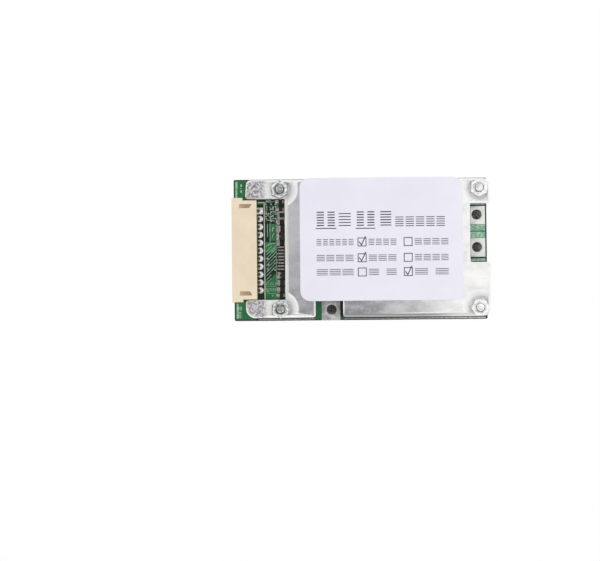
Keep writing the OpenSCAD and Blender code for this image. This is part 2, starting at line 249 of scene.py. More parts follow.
def pressed_aluminium():
    """Rolled sheet: a fine grain along the board and scuffs, and the arms' ends hammered. Painted light
    over it: grey at the left rising to near white at the right, with painted glare at the right end; a
    painted highlight near the plate's left edge; the bends, edges, seats and arms painted whitish as a
    painted sheen; the front edge's roll painted grey; the hammered ends mottled with their dents'
    painted reflections."""
    finish = Finish("pressed_aluminium", Metallic=1.0, Roughness=0.35)
    x, y, z = finish.axes()
    grain = finish.noise(0.22, stretch=(14, 1, 1), detail=4, roughness=0.7)
    cloud = finish.noise(3.2, stretch=(1.6, 1, 1), detail=5, roughness=0.62)
    pits = finish.noise(0.62, detail=5, roughness=0.66, distortion=0.5)
    # Painted light: grey at the left rising to near white at the right, and painted glare over the right
    # end
    light_ramp, glare = x.rise(26, 58), x.rise(47, 58)
    dull = finish.blend(light_ramp, paint(152, 152, 157), paint(232, 231, 231))
    clean = finish.blend(light_ramp, paint(198, 198, 203), paint(251, 250, 249))
    metal = finish.blend(cloud.rise(0.32, 0.68), dull, clean)
    scratches = grain.rise(0.38, 0.26) * 0.6
    metal = finish.blend(scratches, metal, paint(112, 112, 114))
    scuffs = pits.rise(0.5, 0.75) * 0.5
    metal = finish.blend(scuffs, metal, paint(246, 246, 246))
    lit = x.rise(24, 13) * (y.rise(-16, 6) * 0.55 + 0.25)
    metal = finish.blend(lit, metal, paint(240, 240, 244))
    # The front edge's roll is painted grey, lighter towards the right with the painted glare
    lip_grey = finish.blend(glare, paint(172, 175, 174), paint(228, 230, 228))
    front_lip = y.rise(-16.2, -16.5) * x.rise(25, 28)
    metal = finish.blend(front_lip, metal, lip_grey)
    sunk = z.rise(PLATE_Z - 0.03, PLATE_Z - 0.12)
    hammered = (x + pits).rise(9.2, 7.4) * z.rise(SEAT_Z - 0.14, SEAT_Z - 0.07)
    # Painted sheen: below the plate's top the bends, edges, seats and arms are painted near white, except
    # the hammered ends and the front roll
    white = sunk * (1 - hammered) * (1 - front_lip)
    # The hammered ends are mottled violet-grey and light, the dents' reflections painted into the colour
    mottling = finish.blend(pits.rise(0.34, 0.62), paint(128, 122, 136), paint(244, 242, 246))
    pale = finish.blend(cloud.rise(0.3, 0.7), paint(243, 243, 243), paint(253, 253, 252))
    metal = finish.blend(white, finish.blend(sunk * hammered, metal, mottling), pale)
    finish.put("Base Color", metal)
    # The painted sheen makes these parts much less metallic, and the hammered ends' painted reflections
    # somewhat less
    pressed = white * 0.88 + sunk * hammered * 0.4
    # The painted glare also makes the right end less metallic
    glare_diffuse = glare * (1 - white) * 0.85 + glare * white * 0.12
    finish.put("Metallic", 1 - (pressed + glare_diffuse))
    finish.put("Roughness", cloud * 0.12 + grain * 0.1 + white * 0.1 + 0.32)
    height = grain * 0.25 + cloud * 0.5 + pits * hammered * 3.0
    finish.relief(height, 0.035, 0.6)
    return finish.material


def nut_shadow_line():
    """Painted shadow line round the nuts on the sheet: dark and broken at the left, faint at the right."""
    finish = Finish("nut_shadow_line", Roughness=0.5)
    x = finish.axes()[0]
    line = finish.blend(x.rise(20, 50), paint(70, 76, 76), paint(188, 184, 188))
    pale = finish.blend(x.rise(20, 50), paint(206, 208, 208), paint(246, 245, 246))
    finish.put("Base Color", finish.blend(finish.noise(1.5, detail=4).rise(0.46, 0.6), line, pale))
    finish.relief(finish.noise(0.2, detail=2), 0.01)
    return finish.material


def label_face():
    """Smooth pale lavender film."""
    finish = Finish("label_face", Roughness=0.42, IOR=1.45)
    drift = finish.noise(9, detail=2).rise(0.3, 0.7)
    finish.put("Base Color", finish.blend(drift, paint(234, 233, 244), paint(238, 237, 248)))
    finish.put("Roughness", finish.noise(1.2) * 0.1 + 0.38)
    finish.relief(finish.noise(0.5, detail=2), 0.002)
    return finish.material


def cream_nylon():
    """Moulded nylon, slightly mottled, with a spark-eroded grain."""
    finish = Finish("cream_nylon", Roughness=0.5, IOR=1.5)
    drift = finish.noise(5, detail=4).rise(0.3, 0.7)
    cream = finish.blend(drift, paint(233, 216, 190), paint(240, 223, 198))
    finish.put("Base Color", cream)
    finish.put("Roughness", finish.noise(0.5) * 0.12 + 0.44)
    finish.relief(finish.noise(0.14, detail=2), 0.006)
    return finish.material


def bright_solder():
    """Solder of the header's joints: white and frosted, with brown painted shade in an oval round each
    contact's foot, on the side of the joint that faces the header. The shade fades as (x / a)^2 +
    (y / b)^2 from the foot, made uneven by noise, grows from 0.7 to 1.5."""
    finish = Finish("bright_solder", Metallic=0.6, Roughness=0.3)
    x, y, _ = finish.axes()
    pitch = abs(PIN_Y[0] - PIN_Y[1])
    foot_x, a, b = JOINT_X - 0.5, 0.66, 0.48
    across = finish.node("ShaderNodeMath", {"operation": "PINGPONG"}, y - PIN_Y[0], pitch)
    aside = finish.node("ShaderNodeMath", {"operation": "MINIMUM"}, across, pitch - across)
    spread = ((x - foot_x) * (1 / a)) ** 2 + (aside * (1 / b)) ** 2
    # Painted shade on the side of each joint that faces the header
    shaded_side = (spread + finish.noise(0.3, detail=2) * 0.5).rise(1.5, 0.7)
    clean = finish.blend(finish.noise(0.5).rise(0.3, 0.6), paint(232, 234, 232), paint(252, 252, 251))
    shade_brown = finish.blend(finish.noise(0.35).rise(0.35, 0.65), paint(70, 62, 50), paint(132, 124, 112))
    finish.put("Base Color", finish.blend(shaded_side, clean, shade_brown))
    finish.put("Roughness", finish.noise(0.4) * 0.14 + 0.24)
    finish.relief(finish.noise(0.45, detail=3), 0.02)
    return finish.material


def tinned_land():
    """Copper land under a levelled coat of tin, with painted light: grey at the left, near white and less
    metallic at the right.
    """
    finish = Finish("tinned_land", Metallic=1.0, Roughness=0.3)
    x = finish.axes()[0]
    patch = finish.noise(1.6, detail=4).rise(0.3, 0.7)
    dull = finish.blend(patch, paint(184, 187, 183), paint(228, 228, 225))
    bright = finish.blend(patch, paint(236, 237, 235), paint(252, 252, 251))
    # Painted light: the lands grow lighter and less metallic towards the right
    right = x.rise(30, 55)
    finish.put("Base Color", finish.blend(right, dull, bright))
    finish.put("Metallic", 1 - right * 0.85)
    finish.put("Roughness", finish.noise(0.7) * 0.14 + 0.36)
    finish.relief(finish.noise(1.1, detail=3), 0.02)
    return finish.material


def plated_steel():
    """Nickel-plated steel of the screws and nuts, faintly green-grey at the left, with turning marks;
    painted darker at the left and near white at the right as painted light.
    """
    finish = Finish("plated_steel", Metallic=1.0, Roughness=0.3)
    x = finish.axes()[0]
    patch = finish.noise(0.7, detail=4).rise(0.36, 0.62)
    # Painted light: darker at the left, near white at the right
    left = finish.blend(patch, paint(150, 158, 156), paint(232, 235, 233))
    right = finish.blend(patch, paint(222, 222, 222), paint(250, 250, 250))
    finish.put("Base Color", finish.blend(x.rise(20, 50), left, right))
    finish.put("Roughness", finish.noise(0.5) * 0.2 + 0.26)
    finish.relief(finish.noise(0.18, detail=3), 0.014)
    return finish.material


MASK = solder_mask()
LAMINATE = cut_laminate()
ALUMINIUM = pressed_aluminium()
# Painted shadow round the nuts
NUT_SHADOW = nut_shadow_line()
LABEL = label_face()
NYLON = cream_nylon()
SOLDER = bright_solder()
LAND = tinned_land()
STEEL = plated_steel()
# Lacquer over copper, which shows lighter than over laminate
COPPER = mottled("masked_copper", (108, 166, 132), (178, 214, 190), 0.5, 0.3, 0.004, Roughness=0.3, IOR=1.5)
# Painted shade: lacquer painted near black where shade falls, between the joints, in the channel by the
# plate and under its edges
PAINTED_SHADE = mottled("painted_shade_mask", (3, 10, 6), (12, 36, 22), 0.6, 0.3, 0.005, Roughness=0.4, IOR=1.5)
# Printed marks on the board and on the label
BOARD_INK = mottled("board_ink", (186, 204, 190), (214, 226, 214), 0.5, 0.15, 0.003, Roughness=0.6)
LABEL_INK = mottled("label_ink", (44, 42, 50), (66, 64, 74), 0.4, None, 0, Roughness=0.5)
# Solder on the small parts' lands, and small lands in a dull brown-grey
FROSTED = mottled("frosted_solder", (104, 98, 90), (252, 252, 250), 0.3, 0.35, 0.03, 3,
                  gloss=(0.3, 0.16, 0.24), Metallic=0.6, Roughness=0.3)
DULL_LAND = mottled("dull_land", (92, 84, 76), (190, 184, 174), 0.28, 0.3, 0.02, 3,
                    Metallic=0.9, Roughness=0.42)
# Plating inside a wire hole, painted near black as the shade down the hole, and thinly masked rings of the
# plated holes
BARREL_SHADE = mottled("hole_barrel_shade", (8, 8, 8), (40, 39, 38), 0.5, 0.3, 0.03, 3, Metallic=1.0, Roughness=0.5)
RING = mottled("via_ring", (150, 186, 162), (222, 238, 226), 0.3, 0.2, 0.01, Metallic=0.4, Roughness=0.36)
# Header contacts, tinned, with a warm cast where the brass shows through
BRASS = mottled("tinned_brass", (150, 140, 124), (196, 186, 166), 0.5, 0.1, 0.006, stretch=(4, 1, 1),
                Metallic=1.0, Roughness=0.3)
# Moulding compound of the packages, and their formed and tinned leads
EPOXY = mottled("black_epoxy", (24, 24, 26), (36, 36, 38), 1.2, 0.1, 0.008, Roughness=0.55)
LEADS = mottled("tinned_leads", (170, 168, 166), (210, 208, 204), 0.6, 0.15, 0.006,
                Metallic=1.0, Roughness=0.3)
# Glaze over a resistor's element, sintered ceramic, and the chip parts' tinned end caps
GLAZE = mottled("resistor_glaze", (20, 19, 20), (40, 36, 36), 0.7, 0.2, 0.006, Roughness=0.32, IOR=1.5)
CERAMIC = mottled("capacitor_body", (150, 118, 86), (172, 138, 102), 0.5, 0.15, 0.006, Roughness=0.5)
ENDS = mottled("chip_ends", (168, 164, 160), (206, 202, 198), 0.4, 0.2, 0.01, Metallic=1.0, Roughness=0.34)
# Filled silicone of the heat-conducting sheet
SILICONE = mottled("grey_silicone", (150, 152, 156), (168, 170, 174), 1.0, 0.3, 0.01, Roughness=0.7)


# Surfaces -------------------------------------------------------------------------------------------

class Surface:
    """Points in millimetres and the faces over them."""

    def __init__(self, points, faces):
        self.points = np.asarray(points, float).reshape(-1, 3)
        self.faces = [tuple(int(i) for i in face) for face in faces]


def join(surfaces):
    """One surface from several: their points end to end, and the faces renumbered to match."""
    whole = Surface(np.concatenate([s.points for s in surfaces]), [])
    start = 0
    for s in surfaces:
        whole.faces += [tuple(start + i for i in face) for face in s.faces]
        start += len(s.points)
    return whole


def net(rings, loop=False):
    """Skin over a stack of closed rings with equally many points: quads join each ring to the next.
    The first and last rings are capped, or joined to each other when loop is true."""
    rings = np.asarray(rings, float)
    count, around = rings.shape[:2]
    index = np.arange(count * around).reshape(count, around)
    low, high = (index, np.roll(index, -1, 0)) if loop else (index[:-1], index[1:])
    quads = np.stack([low, np.roll(low, -1, 1), np.roll(high, -1, 1), high], -1).reshape(-1, 4)
    faces = quads.tolist()
    if not loop:
        faces += [index[0][::-1].tolist(), index[-1].tolist()]
    return Surface(rings, faces)


def full_turn(count):
    """That many angles, evenly round from 0."""
    return np.arange(count) * 2 * np.pi / count


def turned(profile, x, y, sides):
    """Body of revolution about the vertical line at x, y: each profile point (r, z) becomes a ring
    x + r cos t, y + r sin t, z."""
    profile = np.asarray(profile, float)
    t = full_turn(sides)
    r, z = profile[:, :1], profile[:, 1:]
    rings = np.stack([x + r * np.cos(t), y + r * np.sin(t), z + 0 * t], -1)
    return net(rings)


def inset(outline, distance):
    """The closed anticlockwise outline moved inwards: each point goes along the mitre of its two
    neighbouring sides, far enough for both sides to move by the distance."""
    outline = np.asarray(outline, float)
    after = np.roll(outline, -1, 0) - outline
    after /= np.linalg.norm(after, axis=1, keepdims=True)
    before = np.roll(after, 1, 0)
    inward_after = np.stack([-after[:, 1], after[:, 0]], -1)
    inward_before = np.stack([-before[:, 1], before[:, 0]], -1)
    share = 1 + (inward_after * inward_before).sum(1, keepdims=True)
    return outline + distance * (inward_after + inward_before) / share


def rounded(corners, step=9):
    """Closed outline through the corners (x, y, radius): each corner with a radius becomes an arc that
    touches both of its sides, with a point every step degrees."""
    points = []
    corners = np.asarray(corners, float)
    for before, corner, after in zip(np.roll(corners, 1, 0), corners, np.roll(corners, -1, 0)):
        here, radius = corner[:2], corner[2]
        way_in = (here - before[:2]) / np.linalg.norm(here - before[:2])
        way_out = (after[:2] - here) / np.linalg.norm(after[:2] - here)
        turn = math.atan2(way_in[0] * way_out[1] - way_in[1] * way_out[0], way_in @ way_out)
        if radius == 0 or turn == 0:
            points.append(here)
            continue
        side = np.sign(turn)
        start = here - way_in * radius * math.tan(abs(turn) / 2)
        centre = start + side * radius * np.array([-way_in[1], way_in[0]])
        arm = start - centre
        for share in np.linspace(0, 1, max(2, math.ceil(abs(math.degrees(turn)) / step) + 1)):
            c, s = math.cos(turn * share), math.sin(turn * share)
            points.append(centre + (c * arm[0] - s * arm[1], s * arm[0] + c * arm[1]))
    return np.array(points)


def block(left, front, right, rear, radius=0.0, step=15):
    """Outline of a rectangle, anticlockwise, with rounded corners."""
    return rounded([(left, front, radius), (right, front, radius),
                    (right, rear, radius), (left, rear, radius)], step)


def level(outline, z):
    """The outline as points at height z."""
    return np.column_stack([outline, np.full(len(outline), z)])


def slab(outline, z0, z1, edge=0.0, steps=3):
    """Plate with that outline from z0 to z1. Its upper edge is a quarter round: at angle a it lies
    edge (1 - cos a) inside the outline and edge (1 - sin a) below the top."""
    if edge == 0:
        return net([level(outline, z0), level(outline, z1)])
    angles = np.linspace(0, np.pi / 2, steps + 1)
    rings = [level(outline, z0)]
    for a in angles:
        rings.append(level(inset(outline, edge * (1 - math.cos(a))), z1 - edge * (1 - math.sin(a))))
    return net(rings)


def strip(path, width):
    """Outline of a band of that width along an open path: one side there, the other side back."""
    path = np.asarray(path, float)
    along = np.diff(path, axis=0)
    along /= np.linalg.norm(along, axis=1, keepdims=True)
    left = np.stack([-along[:, 1], along[:, 0]], -1)
    first, last = left[:1], left[-1:]
    before, after = np.concatenate([first, left]), np.concatenate([left, last])
    mitre = (before + after) / (1 + (before * after).sum(1, keepdims=True))
    return np.concatenate([path - mitre * width / 2, (path + mitre * width / 2)[::-1]])


SMOOTH_TO = 38


def settle(mesh, crease):
    """Turns the faces outwards and shades them smooth, except across edges sharper than crease."""
    bm = bmesh.new()
    bm.from_mesh(mesh)
    bmesh.ops.recalc_face_normals(bm, faces=bm.faces)
    bm.to_mesh(mesh)
    bm.free()
    mesh.polygons.foreach_set("use_smooth", np.ones(len(mesh.polygons), bool))
    mesh.set_sharp_from_angle(angle=math.radians(crease))
    mesh.update()


def enter(name, mesh, finishes, replaced):
    """Puts a mesh into the scene as a piece that rides on the board."""
    for finish in finishes:
        mesh.materials.append(finish)
    piece = bpy.data.objects.new(name, mesh)
    bpy.context.scene.collection.objects.link(piece)
    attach(piece, "root")
    if replaced:
        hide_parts(*replaced)


def make_piece(name, surface, finishes, replaced=(), crease=SMOOTH_TO):
    """A piece from a surface in millimetres."""
    mesh = bpy.data.meshes.new(name)
    metres = surface.points * MM + (BOARD_LEFT, 0, 0)
    mesh.from_pydata(metres.tolist(), [], surface.faces)
    settle(mesh, crease)
    enter(name, mesh, finishes, replaced)


def soften(node, name, finishes, edge, finish_of=None, steps=2):
    """A CAD solid with its triangles merged into whole faces and its corners rounded. finish_of gives
    each face's finish number from the middles of the faces."""
    same_place, same_plane, sharp_from = 0.002 * MM, math.radians(1.5), math.radians(28)
    bm = bmesh.new()
    bm.from_mesh(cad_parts[node].data)
    bmesh.ops.remove_doubles(bm, verts=bm.verts, dist=same_place)
    bmesh.ops.dissolve_limit(bm, angle_limit=same_plane, verts=bm.verts, edges=bm.edges)
    if finish_of is not None:
        centres = np.array([face.calc_center_median() for face in bm.faces]) - (BOARD_LEFT, 0, 0)
        for face, number in zip(bm.faces, finish_of(centres / MM)):
            face.material_index = int(number)
    sharp = [e for e in bm.edges if e.is_manifold and e.calc_face_angle() > sharp_from]
    bmesh.ops.bevel(bm, geom=sharp, offset=edge * MM, offset_type="OFFSET", segments=steps,
                    profile=0.5, affect="EDGES", clamp_overlap=True, material=-1)
    mesh = bpy.data.meshes.new(name)
    bm.to_mesh(mesh)
    bm.free()
    settle(mesh, SMOOTH_TO)
    enter(name, mesh, finishes, [node])


# Heat spreader --------------------------------------------------------------------------------------

ROLL_W, ROLL_SLOPE = 0.58, math.radians(46)
ROLL_R = ROLL_W / math.sin(ROLL_SLOPE)
FLOOR_R, RIM_R = 2.55, 4.45
WALL_T = 2.0
UNDER_R = FLOOR_R - (RIM_R - FLOOR_R) / RISE * SHEET_T + WALL_T  # foot of the slope on the under side
BEND = 0.14
HOLE_R = 1.1
PLATE_LEFT = 12.8
ARM_REAR, ARM_FRONT = 12.8, -12.6
REAR, FRONT = 17.5, -17.1
RIGHT = SHEET_HIGH[0]
FRONT_NOTCH = (20.3, 27.2, -12.2)
RIGHT_NOTCH = (59.1, -3.7, 11.1)


def sheet_outline():
    """The pressed sheet from above: a plate with two wire notches and two arms, anticlockwise."""
    left = SHEET_LOW[0]
    notch_left, notch_right, notch_rear = FRONT_NOTCH
    side_left, side_front, side_rear = RIGHT_NOTCH
    return rounded([
        (left, FRONT, 2.4), (notch_left, FRONT, 0.6), (notch_left, notch_rear, 0.3),
        (notch_right, notch_rear, 0.3), (notch_right, FRONT, 0.6), (RIGHT, FRONT, 1.8),
        (RIGHT, side_front, 0.6), (side_left, side_front, 0.3), (side_left, side_rear, 0.3),
        (RIGHT, side_rear, 0.6), (RIGHT, REAR, 1.8), (left + 0.35, REAR, 1.2), (left, ARM_REAR, 0.75),
        (PLATE_LEFT, ARM_REAR, 0.3), (PLATE_LEFT, ARM_FRONT, 0.3), (left, ARM_FRONT, 0.75),
    ])


def soft_clamp(t, bend):
    """t held between 0 and 1, with a parabola of half-width bend easing into each limit."""
    def ease(s):
        return np.where(s < -bend, 0, np.where(s > bend, s, (s + bend) ** 2 / (4 * bend)))
    return ease(t) - ease(t - 1)


def lift(x, y, foot):
    """How much of the rise the sheet has at x, y: 0 on the arms and the seats' floors, and 1 on the
    plate. Round each screw it grows with the distance r as (r - foot) / (rim - floor)."""
    share = np.ones_like(x)
    for seat_x, seat_y in SEATS:
        r = np.hypot(x - seat_x, y - seat_y)
        near = soft_clamp((r - foot) / (RIM_R - FLOOR_R), BEND)
        outward = np.abs(y) > abs(seat_y)
        if seat_x < BOARD_L / 2:
            free = np.where(outward, soft_clamp(x - PLATE_LEFT + 0.4, BEND), 1)
            free = np.where((x < PLATE_LEFT) & (np.abs(y) > abs(ARM_FRONT) - 0.1), 0, free)
        else:
            free = np.where(outward & (x > seat_x), 0, 1)
        share = np.minimum(share, near * free)
    return share


def sheet_points(ring):
    """Points inside the sheet: rings round each screw, close together over the bends, and a plain
    lattice elsewhere. Those too near the edge are dropped."""
    # Wide apart on the seats' floors, close over the bends
    radii = np.concatenate([np.arange(1.35, 2.2, 0.28), np.arange(2.25, 5.4, 0.16)])
    t = full_turn(56)
    spokes = np.stack([np.cos(t), np.sin(t)], -1)
    round_seat = (radii[:, None, None] * spokes).reshape(-1, 2)
    groups = [seat + round_seat for seat in SEATS]
    xs, ys = np.meshgrid(np.arange(PLATE_LEFT + 1, RIGHT, 2.2), np.arange(FRONT + 1, REAR, 2.2))
    lattice = np.stack([xs.ravel(), ys.ravel()], -1)
    far = np.min(np.linalg.norm(lattice[:, None] - SEATS[None], axis=2), axis=1) > 5.7
    groups.append(lattice[far])
    xs, ys = np.meshgrid(np.arange(3.4, 9.4, 0.22), np.concatenate([np.arange(13.3, 17.2, 0.22),
                                                                   np.arange(-16.8, -13.0, 0.22)]))
    arms = np.stack([xs.ravel(), ys.ravel()], -1)
    groups.append(arms[np.min(np.linalg.norm(arms[:, None] - SEATS[None], axis=2), axis=1) > 5.5])
    spots = np.concatenate(groups)
    after = np.roll(ring, -1, 0)
    side = after - ring
    length = (side ** 2).sum(1)
    share = np.clip(((spots[:, None] - ring[None]) * side[None]).sum(2) / length, 0, 1)
    gap = np.linalg.norm(spots[:, None] - (ring[None] + share[..., None] * side[None]), axis=2).min(1)
    above = (ring[None, :, 1] > spots[:, None, 1]) != (after[None, :, 1] > spots[:, None, 1])
    run = np.where(above, side[None, :, 1], 1)
    crossing = ring[None, :, 0] + (spots[:, None, 1] - ring[None, :, 1]) / run * side[None, :, 0]
    within = ((above & (spots[:, None, 0] < crossing)).sum(1) % 2) == 1
    return spots[within & (gap > 0.12)]


def dents(x, y):
    """Shallow hammered dents on the outer ends of the arms: a sum of crossing waves with uneven
    pitches, faded in towards the left."""
    waves = (np.sin(x * 4.1 + 1.3 * np.sin(y * 2.3)) * np.sin(y * 3.7 + 1.1 * np.sin(x * 2.9))
             + 0.6 * np.sin(x * 7.3 + y * 2.1) * np.sin(y * 6.1 - x * 1.7))
    return 0.05 * waves * np.clip((7.6 - x) / 1.6, 0, 1)


def pressed_sheet():
    """The spreader: an upper and a lower skin over one net of triangles, joined round the outline by a
    rolled upper edge and a wall, and round each screw hole by a straight wall."""
    outline = sheet_outline()
    ring = inset(outline, ROLL_W)
    t = full_turn(40)
    holes = [np.stack([sx + HOLE_R * np.cos(-t), sy + HOLE_R * np.sin(-t)], -1) for sx, sy in SEATS]
    spots = sheet_points(ring)
    flat = np.concatenate([ring, *holes, spots])
    inner_constraints, weld = 2, 1e-7
    loops, start = [], 0
    for loop in [ring, *holes]:
        loops.append(list(range(start, start + len(loop))))
        start += len(loop)
    result = delaunay_2d_cdt([Vector(p) for p in flat], [], loops, inner_constraints, weld)
    corners = np.array([list(v) for v in result[0]])
    triangles = np.array(result[2])
    middles = corners[triangles].mean(1)
    outside_holes = np.min(np.linalg.norm(middles[:, None] - SEATS[None], axis=2), axis=1) > HOLE_R * 0.98
    triangles = triangles[outside_holes]
    source = {min(origin): i for i, origin in enumerate(result[3]) if origin}
    order = np.array([source[i] for i in range(len(ring) + sum(len(h) for h in holes))])

    top = np.column_stack([corners, SEAT_Z + RISE * lift(corners[:, 0], corners[:, 1], FLOOR_R)
                           + dents(corners[:, 0], corners[:, 1])])
    under = np.column_stack([corners, TOP_Z + RISE * lift(corners[:, 0], corners[:, 1], UNDER_R)])
    chamfer, roll_steps = 0.08, 6
    rim = order[:len(ring)]
    under[rim, :2] = inset(outline, chamfer)
    under[rim, 2] = TOP_Z + RISE * lift(under[rim, 0], under[rim, 1], UNDER_R)
    count = len(corners)
    points = [top, under]
    faces = [triangles, triangles[:, ::-1] + count]

    rows = [under[rim]]
    wall_top = SEAT_Z + RISE * lift(outline[:, 0], outline[:, 1], FLOOR_R)
    wall_low = TOP_Z + RISE * lift(outline[:, 0], outline[:, 1], UNDER_R)
    rows.append(np.column_stack([outline, wall_low + chamfer]))
    for a in np.linspace(ROLL_SLOPE, 0, roll_steps)[:-1]:
        line = inset(outline, ROLL_W - ROLL_R * math.sin(a))
        rows.append(np.column_stack([line, wall_top - ROLL_R * (1 - math.cos(a))]))
    ids = [rim + count]
    for row in rows[1:]:
        ids.append(np.arange(len(row)) + sum(len(p) for p in points))
        points.append(row)
    ids.append(rim)
    for low, high in zip(ids, ids[1:]):
        faces.append(np.stack([low, np.roll(low, -1), np.roll(high, -1), high], -1))
    begin = len(ring)
    for hole in holes:
        loop = order[begin:begin + len(hole)]
        faces.append(np.stack([loop, np.roll(loop, -1), np.roll(loop, -1) + count, loop + count], -1))
        begin += len(hole)
    everything = [face for group in faces for face in group.tolist()]
    return Surface(np.concatenate(points), everything)


make_piece("heat_spreader_sheet", pressed_sheet(), [ALUMINIUM], ["heat_spreader"], 50)


# Board ----------------------------------------------------------------------------------------------

def board_faces(centres):
    """Mask on the two faces, bare laminate on the cut edges and the holes' walls."""
    on_face = (np.abs(centres[:, 2] - TOP_Z) < 0.01) | (np.abs(centres[:, 2] - UNDER_Z) < 0.01)
    return np.where(on_face, 0, 1)


soften("pcb", "board_laminate", [MASK, LAMINATE], 0.05, board_faces, 1)

FOIL = 0.035
INK = 0.055
SUNK = 0.01


def foil(outlines, height=FOIL):
    """Thin flat shapes on the board, sunk a hair into it."""
    return join([slab(outline, TOP_Z - SUNK, TOP_Z + height) for outline in outlines])


def via(x, y, ring, bore):
    """Plated hole: a flat ring with a sunk middle."""
    floor, pin = 0.012, 0.02
    profile = [(ring, -SUNK), (ring, FOIL), (bore, FOIL), (bore * 0.8, floor), (pin, floor), (pin, -SUNK)]
    return turned([(r, TOP_Z + z) for r, z in profile], x, y, 16)


INK_LINE_X = 7.65
WINDOW_REAR, WINDOW_FRONT = 12.0, -12.5
NOTCH_X, NOTCH_END = 59.2, 63.1
CHIPS = [f"sense_chip_{i}" for i in range(1, 10)]


def painted_shade_ground():
    """Lacquer over bare laminate, darkened to near black as painted shade: round the joints, behind the
    rear runs and the slanting runs, under the row of small parts, under the plate's edge along the front
    edge and in bands along the right notch."""
    window = [
        (5.9, WINDOW_FRONT, INK_LINE_X, 10.5), (5.9, WINDOW_REAR + 0.1, 11.4, 12.7),
        (5.2, 10.8, INK_LINE_X, 11.5), (INK_LINE_X, 1.0, 10.55, WINDOW_REAR + 0.1),
        (INK_LINE_X, -7.6, 10.55, -0.6), (11.3, -12.5, 13.6, 12.7), (10.6, -6.4, 11.3, 2.2),
    ]
    front_edge = [(5.4, -17.74, 20.2, -16.9), (27.4, -17.74, 63.3, -16.9), (26.62, -17.0, 27.6, -12.2)]
    right_notch = [(NOTCH_X, front, NOTCH_END, rear)
                   for front, rear in ((4.15, 4.4), (10.62, 10.9), (-3.7, -3.3), (-2.6, -2.2))]
    return foil([block(*corners) for corners in window + front_edge + right_notch], 0.012)


def green_pour():
    """Poured copper that shows as plain green between the runs."""
    return foil([
        block(9.2, 2.3, 10.42, 6.6, 0.1), block(INK_LINE_X + 0.2, -0.8, 10.5, 2.0, 0.2),
        np.array([(8.3, -8.6), (10.5, -8.6), (10.5, -6.0), (10.1, -6.0)]),
        block(INK_LINE_X + 0.2, -12.4, 10.6, -8.2, 0.15),
    ], 0.02)


def window_tracks():
    """Runs in the gap between the header and the plate: along the board at the rear, slanting past the
    middle and short ones at the front."""
    paths = [
        (0.12, [(10.6, 7.0), (10.6, 0.3)]), (0.12, [(10.6, -0.2), (10.6, -8.4)]),
        (0.14, [(8.2, 11.6), (8.2, 9.9)]), (0.16, [(8.1, 12.6), (8.9, 11.8)]),
        (0.16, [(8.6, 12.7), (9.2, 12.1)]), (0.16, [(9.0, 12.6), (9.4, 12.2), (10.2, 12.2), (10.6, 11.8)]),
        (0.16, [(9.0, 10.9), (9.9, 10.0), (9.9, 8.9)]), (0.16, [(8.3, 9.0), (9.2, 8.1)]),
        (0.16, [(8.1, -0.3), (9.4, 0.9)]), (0.16, [(9.3, -0.5), (10.4, 0.6)]),
        (0.18, [(9.05, 6.7), (9.05, 2.1)]), (0.18, [(8.2, 7.5), (9.9, 7.5), (10.4, 7.0)]),
        (0.18, [(8.0, 0.9), (9.0, 1.7), (10.3, 1.7)]), (0.2, [(8.42, 6.6), (8.42, 3.3)]),
        (0.2, [(9.7, 5.8), (9.7, 4.6)]), (0.2, [(10.1, 4.2), (9.7, 3.8), (9.7, 3.0)]),
    ]
    runs = [strip(path, width) for width, path in paths]
    for y in np.arange(-8.3, -0.8, 0.87):
        slanting = [(8.05, y + 0.05), (10.45, y + 2.45)] if y > -6.6 else [(8.1, y), (9.3, y + 1.2)]
        runs.append(strip(slanting, 0.17))
    for y in (-8.4, -9.9):
        for x in np.arange(8.1, 10.5, 0.42):
            runs.append(strip([(x, y - 0.42), (x + 0.12, y), (x, y + 0.3)], 0.16))
    runs += [strip([(8.0, -9.1), (10.3, -9.1)], 0.1), strip([(8.1, -10.9), (10.4, -10.9)], 0.1)]
    return foil(runs)


def window_vias():
    """Plated holes: a crowd of them at the rear of the window, placed on an uneven lattice, and a few
    farther on."""
    chance = np.random.default_rng(11)
    spots = [(9.19, 1.48), (8.53, 1.2), (9.94, 0.4), (9.74, 3.69), (9.94, 5.6), (8.4, -2.2), (8.6, -3.7),
             (8.5, -4.9), (10.2, -1.7), (10.2, -3.4), (10.25, -5.0), (9.6, -11.5), (8.5, -10.4)]
    for y in np.arange(12.1, 6.9, -0.6):
        for x in np.arange(8.2, 10.6, 0.56):
            if chance.random() < 0.62:
                spots.append((x + chance.uniform(-0.1, 0.1), y + chance.uniform(-0.1, 0.1)))
    return join([via(x, y, 0.21, 0.09) for x, y in spots])


def pour():
    """Poured copper under the mask at the board's corners and round the wire pads, where it shows pale."""
    bars = [(0.42, 13.2, 0.95, 17.3), (0.5, -17.2, 1.0, -13.4)]
    bars += [(NOTCH_X, front, NOTCH_END, rear) for front, rear in ((4.4, 5.9), (2.6, 4.15), (-3.3, -2.6))]
    sliver = block(NOTCH_X, 10.9, NOTCH_END, 11.1)
    return foil([*(block(*corners, 0.1) for corners in bars), sliver], FOIL * 0.6)


def small_lands():
    """Solder on the lands of the small parts at the plate's edge: a low wedge at each part's near end,
    highest against the part."""
    reach, tuck, side = 0.55, 0.3, 0.05
    shoulder_z, highest, share = 0.1, 0.35, 0.7
    lands = []
    for node in [*CHIPS, "driver_transistor_1", "driver_transistor_2"]:
        low, high = span(node)
        foot = block(low[0] - reach, low[1] - side, low[0] + tuck, high[1] + side)
        crown = inset(foot, 0.1)
        crown[[0, 3], 0] = low[0] - 0.2
        top = min(highest, (high[2] - TOP_Z) * share)
        rings = ((foot, -SUNK), (foot, FOIL), (inset(foot, 0.05), shoulder_z), (crown, top))
        lands.append(net([level(outline, TOP_Z + z) for outline, z in rings]))
    return join(lands)


